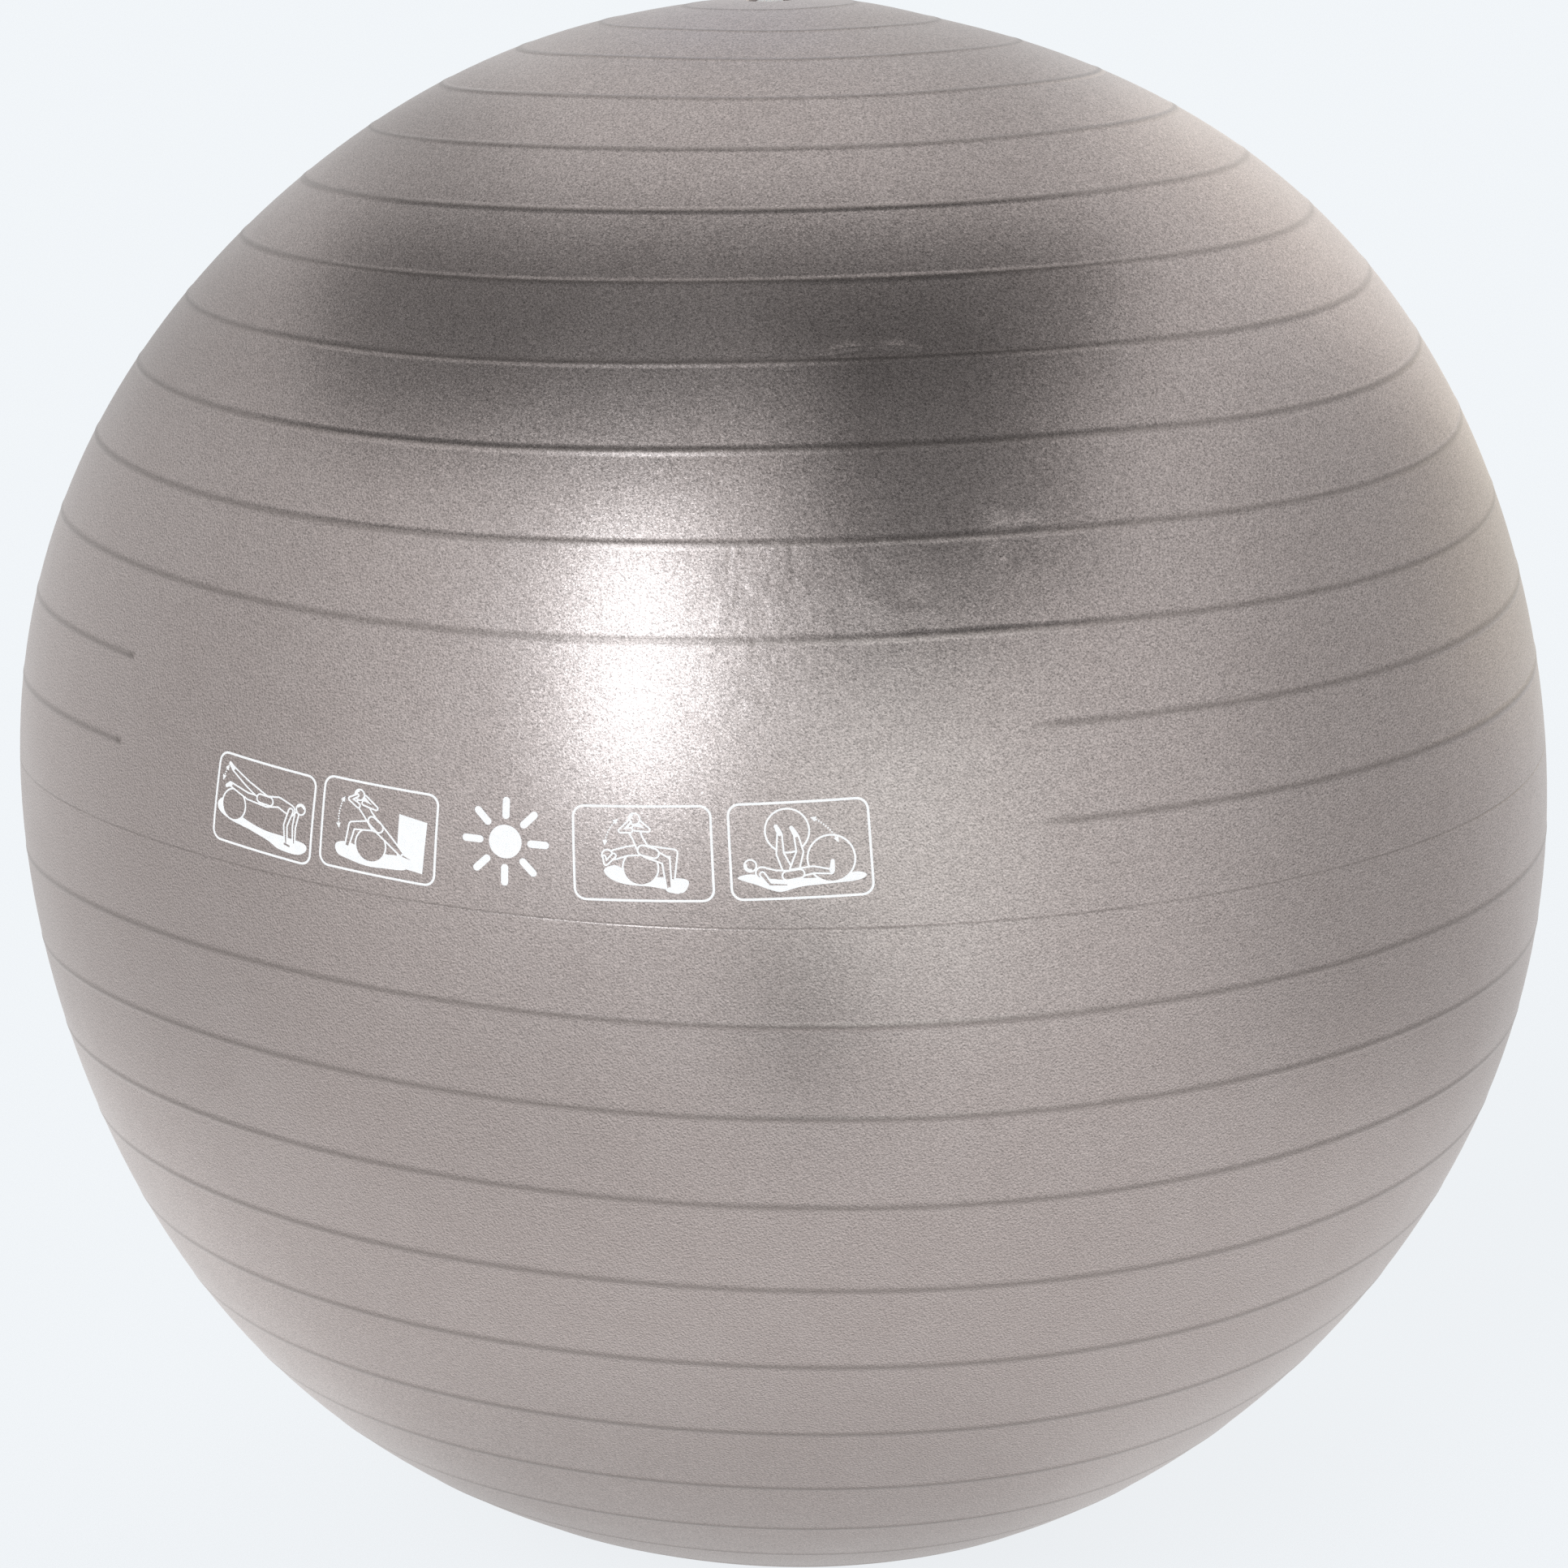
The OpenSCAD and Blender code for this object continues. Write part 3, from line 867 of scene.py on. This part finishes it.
def draw_side_bend():
    """Side lying over the ball with the feet against a wall."""
    art = Drawing()
    art.frame(FRAME_W - NARROWER)
    art.fill([(9.0, 8.2), (21.0, 6.6), (20.0, -13.6), (9.0, -12.4)])
    art.blob([(-18, -8.2), (-13, -6.6), (-6, -8), (4, -8.5), (9.5, -8.5), (13, -13), (4, -14.2),
              (-4, -14.6), (-12, -13.4), (-17, -12)])
    art.hoop((-2.6, -6.2), 7.0)
    art.limb([(-1.2, 1.8), (-11.2, 0.2), (-13.0, -8.4)], [4.0, 2.9, 1.8])
    art.foot((-13.2, -9.0), (-10.6, -9.9))
    art.limb([(-0.6, 2.0), (6.2, -3.4), (11.2, -7.6)], [4.2, 2.9, 1.8])
    art.limb([(11.6, -8.0), (14.8, -9.0)], FOOT_WIDTHS)
    art.limb([(-0.8, 1.6), (-4.4, 5.6), (-7.6, 9.4)], [4.4, 3.8, 4.4])
    art.limb([(0.6, 1.2), (-2.6, 3.4)], [3.8, 3.4])
    art.limb([(-6.6, 9.8), (-1.2, 8.6), (-6.2, 12.2)], [1.9, 1.5, 1.1])
    art.head((-8.9, 12.6), 2.1, look=60 * DEG)
    art.limb([(-9.2, 8.4), (-13.0, 10.4), (-9.8, 12.2)], [1.8, 1.4, 1.1])
    art.arc_arrow((1.5, 2.0), 19.0, 154, 190)
    return art


def draw_crunch():
    """Back on the ball, sitting up and lying back."""
    art = Drawing()
    art.frame()
    art.blob([(-14.4, -6.2), (-10, -4.4), (-5, -7), (3, -8.5), (9, -8.8), (15.5, -9.4), (16.6, -11.4),
              (14.0, -14.6), (8, -13.2), (2, -12.2), (-6, -11.6), (-12, -9.6)])
    art.hoop((-0.8, -5.2), 6.9)
    art.limb([(2.4, 1.2), (11.6, 0.4), (10.6, -9.8)], [3.8, 2.8, 1.8])
    art.foot((10.8, -10.4), (13.8, -11.6))
    art.limb([(-1.2, 1.4), (-5.6, 1.0), (-10.2, -0.4)], [3.8, 3.4, 3.6])
    art.head((-13.0, -0.6), 2.0, look=200 * DEG)
    art.limb([(-10.6, -0.8), (-13.6, -3.8), (-14.2, -1.2)], [1.7, 1.4, 1.0])
    art.limb([(0.2, 2.2), (-1.6, 6.0), (-3.0, 9.4)], [4.2, 3.6, 4.4])
    art.limb([(1.6, 0.8), (8.6, -2.4), (9.4, -13.0)], [4.2, 3.0, 1.9])
    art.foot((9.6, -13.4), (12.6, -14.2))
    art.limb([(0.2, 1.4), (4.4, 0.2)], [3.8, 3.6])
    art.limb([(-2.6, 9.6), (2.4, 9.0), (-1.0, 12.2)], [1.9, 1.5, 1.1])
    art.head((-2.6, 13.0), 2.1, look=70 * DEG)
    art.limb([(-4.2, 8.8), (-7.8, 8.6), (-4.4, 12.0)], [1.8, 1.4, 1.1])
    art.arc_arrow((1.0, 1.5), 15.0, 132, 172)
    return art


def draw_leg_swing():
    """Lying down, swinging the ball up and over between the feet."""
    art = Drawing()
    art.frame()
    art.blob([(-23.2, -9.6), (-19, -8.2), (-10, -9.2), (2, -10.4), (12, -10.2), (20, -9.0),
              (23.4, -10.4), (20, -12.2), (10, -12.8), (0, -13.4), (-7, -15.0), (-10.4, -14.6),
              (-17, -12.0)])
    art.hoop((-4.4, 7.4), 8.4, 0.7)
    art.hoop((11.0, -3.6), 9.0, 0.7, parts=48)
    art.limb([(-4.8, -7.6), (-7.4, -1.0), (-7.2, 6.0)], [3.6, 2.7, 1.7])
    art.limb([(-2.6, -7.2), (-0.2, -0.6), (-1.2, 5.2)], [3.4, 2.5, 1.6])
    art.foot((-7.2, 6.6), (-8.4, 9.2))
    art.foot((-1.4, 5.8), (-2.8, 8.4))
    art.limb([(-3.4, -8.6), (4.2, -7.4), (10.6, -8.4)], [3.4, 2.6, 1.6])
    art.foot((11.0, -8.0), (11.4, -4.6))
    art.limb([(-4.0, -9.4), (-9.6, -8.8), (-14.4, -7.8)], [4.0, 3.6, 4.4])
    art.limb([(-5.4, -9.2), (-0.6, -8.6)], [3.4, 3.2])
    art.limb([(-14.2, -8.4), (-11.6, -12.2), (-5.6, -12.6)], [1.9, 1.4, 1.0])
    art.head((-18.4, -5.0), 2.2, look=120 * DEG)
    art.arc_arrow((-2.2, -4.4), 17.5, 66, 24)
    return art


def draw_sun():
    """A plain sun: a disc with rays."""
    art = Drawing()
    art.disc((0, 0), 6.4, parts=48)
    rays = 8
    for k in range(rays):
        a = k * 2 * math.pi / rays
        out = np.array([math.cos(a), math.sin(a)])
        art.taper(out * 10, out * 15.6, 2.8, 2.8, parts=10)
    return art


def build_prints(material):
    # turn in degrees, rise above the row's line in millimetres, tilt in degrees
    pictures = (
        ("plank_picture", "plank_print", draw_plank(), -19.3, -0.75, -2.6),
        ("side_bend_picture", "side_bend_print", draw_side_bend(), -9.5, -0.6, -1.6),
        ("sun_emblem", "sun_emblem_print", draw_sun(), 0.0, 2.0, 0.0),
        ("crunch_picture", "crunch_print", draw_crunch(), 9.35, 1.25, 2.1),
        ("leg_swing_picture", "leg_swing_print", draw_leg_swing(), 19.7, 3.7, 2.3),
    )
    for name, node, art, turn, rise_mm, tilt in pictures:
        build_print(name, node, art, turn * DEG, rise_mm, tilt * DEG, material)


# ---- the valve -----------------------------------------------------------------------


def rounded_profile(corners, parts=4):
    """Rounds the corners of a lathe profile. Each corner is radius, height, rounding."""
    out = []
    count = len(corners)
    for i, (r, z, rounding) in enumerate(corners):
        here = np.array([r, z])
        if rounding == 0:
            out.append(tuple(here))
            continue
        before = np.array(corners[i - 1][:2]) - here
        after = np.array(corners[(i + 1) % count][:2]) - here
        before = before / np.linalg.norm(before) * rounding
        after = after / np.linalg.norm(after) * rounding
        for k in range(parts + 1):
            t = k / parts
            out.append(tuple(here + before * (1 - t) ** 2 + after * t ** 2))
    return out


def lathe(name, profile, material, steps=96, closed=True):
    """Turns a profile round the ball's axis. Points at radius 0 become one vertex."""
    points, loops = [], []
    for r, z in profile:
        if r < 1e-7:
            loops.append([len(points)])
            points.append((0, 0, z))
            continue
        loops.append(list(range(len(points), len(points) + steps)))
        points += [(r * math.sin(2 * math.pi * k / steps), -r * math.cos(2 * math.pi * k / steps), z)
                   for k in range(steps)]
    pairs = list(zip(loops[:-1], loops[1:])) + ([(loops[-1], loops[0])] if closed else [])
    faces = []
    for a, b in pairs:
        for k in range(steps):
            j = (k + 1) % steps
            if len(a) == 1 and len(b) == 1:
                break
            if len(a) == 1:
                faces.append((a[0], b[j], b[k]))
            elif len(b) == 1:
                faces.append((a[k], a[j], b[0]))
            else:
                faces.append((a[k], a[j], b[j], b[k]))
    return mesh_object(name, points, faces, material)


def build_grommet(material):
    sleeve_r = 5.6 * MM
    flange_r = grommet_high.x
    top = grommet_high.z
    end = grommet_low.z
    under = recess_floor - boss_t
    bead_w = 0.9 * MM  # raised round the hole and round the flange
    bead_h = 0.15 * MM
    bead_slope = 0.3 * MM
    crisp = 0.1 * MM
    profile = rounded_profile([
        (bore_r, top, 0.25 * MM),
        (bore_r + bead_w, top, crisp),
        (bore_r + bead_w + bead_slope, top - bead_h, crisp),
        (flange_r - bead_w, top - bead_h, crisp),
        (flange_r - bead_w + bead_slope, top, crisp),
        (flange_r, top, 0.3 * MM),
        (flange_r, recess_floor, crisp),
        (neck_r, recess_floor, 0),
        (neck_r, under, 0),
        (flange_r, under, crisp),
        (flange_r, under - flange_t, 0.3 * MM),
        (sleeve_r, under - flange_t - 1.5 * MM, 0.5 * MM),
        (sleeve_r, end, 0.6 * MM),
        (bore_r, end, 0.3 * MM)])
    piece = lathe("valve_ring", profile[::-1], material)
    dress(piece, "valve_grommet", "ball")


def build_plug(material):
    head_r = plug_high.x
    top = plug_high.z
    under = grommet_high.z  # the head rests on the grommet
    rim = under + 1.1 * MM
    tip = plug_low.z
    dimple = 0.25 * MM
    core_r = 3.55 * MM
    seal_r = 3.95 * MM
    seal_h = 1.2 * MM
    seals = 4
    hollow_r = 2 * MM
    hollow_top = under - 1 * MM
    tip_h = 1.6 * MM
    step = (under - tip - tip_h - seal_h) / (seals - 1)
    corners = [(0, top - dimple, 0), (0.7 * MM, top - dimple, 0.1 * MM), (1.0 * MM, top, 0.15 * MM)]
    corners += [(head_r * math.sin(a * DEG) * 0.93, rim + (top - rim) * math.cos(a * DEG), 0)
                for a in (25, 40, 55, 70, 82)]
    corners += [(head_r, rim, 0.35 * MM), (head_r, under, 0.15 * MM), (core_r, under, 0)]
    for k in reversed(range(seals)):
        low = tip + tip_h + k * step
        if k < seals - 1:
            corners += [(core_r, low + seal_h, 0)]
        corners += [(seal_r, low + seal_h, 0.25 * MM), (seal_r, low, 0.35 * MM), (core_r, low, 0)]
    corners += [(core_r - 0.8 * MM, tip, 0.3 * MM), (hollow_r, tip, 0.2 * MM)]
    corners += [(hollow_r, hollow_top, 0.4 * MM), (0, hollow_top, 0)]
    piece = lathe("push_in_plug", rounded_profile(corners)[::-1], material, closed=False)
    dress(piece, "valve_plug", "plug")


# ---- studio --------------------------------------------------------------------------

# Everything the ball mirrors, placed by where it shows on the ball from the camera:
# right and up of the middle in ball radii, half width, half height, edge softness, turn
# in degrees, and the factor it scales the light by.
DARK_PATCHES = (
    (-0.09, 0.555, 0.50, 0.115, 0.08, 0, 0.17),
    (0.17, 0.38, 0.16, 0.20, 0.10, 20, 0.12),
    (-0.32, 0.45, 0.22, 0.07, 0.10, 0, 0.30),
    (-0.72, 0.62, 0.12, 0.14, 0.16, 0, 0.78),
    (-0.45, 0.74, 0.11, 0.12, 0.14, 20, 0.60),
    (0.13, 0.20, 0.09, 0.11, 0.12, 0, 0.58),
    (0.02, -0.28, 0.05, 0.11, 0.10, 0, 0.26),
    (0.26, 0.80, 0.09, 0.10, 0.14, -35, 0.80),
    (0.73, 0.06, 0.18, 0.42, 0.25, 0, 0.62),
    (-0.74, 0.10, 0.18, 0.50, 0.30, 0, 0.76),
    (0.0, 0.93, 0.30, 0.06, 0.12, 0, 0.86),
    (-0.05, -0.92, 0.40, 0.16, 0.20, 0, 0.80),
    (-0.35, -0.36, 0.16, 0.14, 0.20, 0, 0.88),
)
# The same for the patches that add light, but ending with its colour.
BRIGHT_PATCHES = (
    (-0.180, 0.13, 0.055, 0.150, 0.10, 0, (3.5, 3.75, 3.9)),
    (-0.21, 0.08, 0.14, 0.18, 0.28, 0, (0.20, 0.22, 0.24)),
    (0.14, -0.08, 0.14, 0.18, 0.24, 0, (0.34, 0.39, 0.38)),
    (0.72, 0.66, 0.10, 0.36, 0.16, 48, (0.34, 0.30, 0.25)),
    (-0.80, -0.58, 0.10, 0.30, 0.16, 36, (0.18, 0.18, 0.18)),
    (0.92, 0.30, 0.08, 0.20, 0.20, 0, (0.14, 0.11, 0.04)),
    (-0.06, 0.93, 0.12, 0.03, 0.08, 0, (0.0, 0.01, 0.06)),
)
ROOM_LIGHT = (0.83, 0.82, 0.815)
BACKDROP = (0.913, 0.947, 0.973, 1)


def patch_mask(tree, x, y, centre_x, centre_y, half_x, half_y, soft, turn):
    """1 inside a soft-edged box and 0 outside."""
    cosine, sine = math.cos(turn * DEG), math.sin(turn * DEG)
    dx = calc(tree, "SUBTRACT", x, centre_x)
    dy = calc(tree, "SUBTRACT", y, centre_y)
    along = calc(tree, "ADD", calc(tree, "MULTIPLY", dx, cosine), calc(tree, "MULTIPLY", dy, sine))
    across = calc(tree, "SUBTRACT", calc(tree, "MULTIPLY", dy, cosine),
                  calc(tree, "MULTIPLY", dx, sine))
    mask = []
    for value, half in ((along, half_x), (across, half_y)):
        mask.append(rise(tree, calc(tree, "ABSOLUTE", value), half + soft / 2, half - soft / 2))
    return calc(tree, "MULTIPLY", *mask)


def build_world():
    """Painted light. What the ball mirrors from a direction shows on it where its surface
    faces halfway between that direction and the camera."""
    world = bpy.data.worlds.new("studio")
    bpy.context.scene.world = world
    world.use_nodes = True
    tree = world.node_tree
    tree.nodes.clear()
    direction = add(tree, "ShaderNodeTexCoord").outputs["Generated"]
    halfway = vector(tree, "NORMALIZE", vector(tree, "ADD", direction, tuple(back)))
    x = vector(tree, "DOT_PRODUCT", halfway, tuple(side))
    y = vector(tree, "DOT_PRODUCT", halfway, tuple(up))
    level = 1.0
    for *shape, factor in DARK_PATCHES:
        mask = patch_mask(tree, x, y, *shape)
        level = calc(tree, "MULTIPLY", level, calc(tree, "MULTIPLY_ADD", mask, factor - 1, 1.0))
    light = scaled(tree, ROOM_LIGHT, level)
    for *shape, extra in BRIGHT_PATCHES:
        glow = scaled(tree, extra, patch_mask(tree, x, y, *shape))
        light = vector(tree, "ADD", light, glow)
    room = add(tree, "ShaderNodeBackground", {"Color": light, "Strength": 1.0})
    plain = add(tree, "ShaderNodeBackground", {"Color": BACKDROP, "Strength": 1.0})
    seen = add(tree, "ShaderNodeLightPath").outputs["Is Camera Ray"]
    both = add(tree, "ShaderNodeMixShader", {0: seen, 1: room.outputs[0], 2: plain.outputs[0]})
    add(tree, "ShaderNodeOutputWorld", {"Surface": both.outputs[0]})


def build_floor():
    """A wide pale floor that only takes the ball's soft shadow."""
    radii = (0.15, 0.4, 1.0, 4.0, 30.0)
    steps = 24
    spokes = np.arange(steps) * 2 * math.pi / steps
    points = [(0, 0, foot_z)]
    for radius in radii:
        points += [(radius * math.cos(a), radius * math.sin(a), foot_z) for a in spokes]
    faces = [(0, 1 + k, 1 + (k + 1) % steps) for k in range(steps)]
    for inner in range(len(radii) - 1):
        start = 1 + inner * steps
        for k in range(steps):
            j = (k + 1) % steps
            faces.append((start + k, start + steps + k, start + steps + j, start + j))
    material, tree = new_material("pale_floor")
    place = add(tree, "ShaderNodeTexCoord").outputs["Object"]
    speck = noise(tree, place, 6, 3.0, 0.5)
    colour = mix_colour(tree, speck, (0.20, 0.21, 0.22), (0.205, 0.215, 0.225))
    matt = add(tree, "ShaderNodeBsdfDiffuse", {"Color": colour})
    glow = add(tree, "ShaderNodeEmission", {"Color": BACKDROP, "Strength": 0.83})
    both = add(tree, "ShaderNodeAddShader", {0: matt.outputs[0], 1: glow.outputs[0]})
    finish_material(tree, both.outputs[0])
    floor = mesh_object("studio_floor", points, faces, material)
    floor.visible_glossy = False


def build_camera():
    data = bpy.data.cameras.new("camera")
    data.sensor_width = sensor_w
    data.lens = lens_mm
    data.clip_start = 0.05
    data.clip_end = 200
    camera = bpy.data.objects.new("camera", data)
    bpy.context.collection.objects.link(camera)
    place = back * camera_distance - side * camera_shift[0] - up * camera_shift[1]
    turn = Matrix((side, up, back)).transposed()
    camera.matrix_world = Matrix.Translation(place) @ turn.to_4x4()
    bpy.context.scene.camera = camera


# ---- put it together -----------------------------------------------------------------

vinyl = make_vinyl()
ink = make_ink()
white_plastic = make_plastic("white_plastic", (0.80, 0.80, 0.78), (0.88, 0.88, 0.87), 0.28, 0.15)
grommet_vinyl = make_plastic("grommet_vinyl", (0.36, 0.33, 0.32), (0.42, 0.39, 0.38), 0.42, 0.0)
build_skin(vinyl)
build_prints(ink)
build_grommet(grommet_vinyl)
build_plug(white_plastic)
build_world()
build_floor()
build_camera()
bpy.context.scene.view_settings.view_transform = "Standard"
bpy.context.scene.cycles.use_denoising = False  # the denoiser would wipe the leather grain off
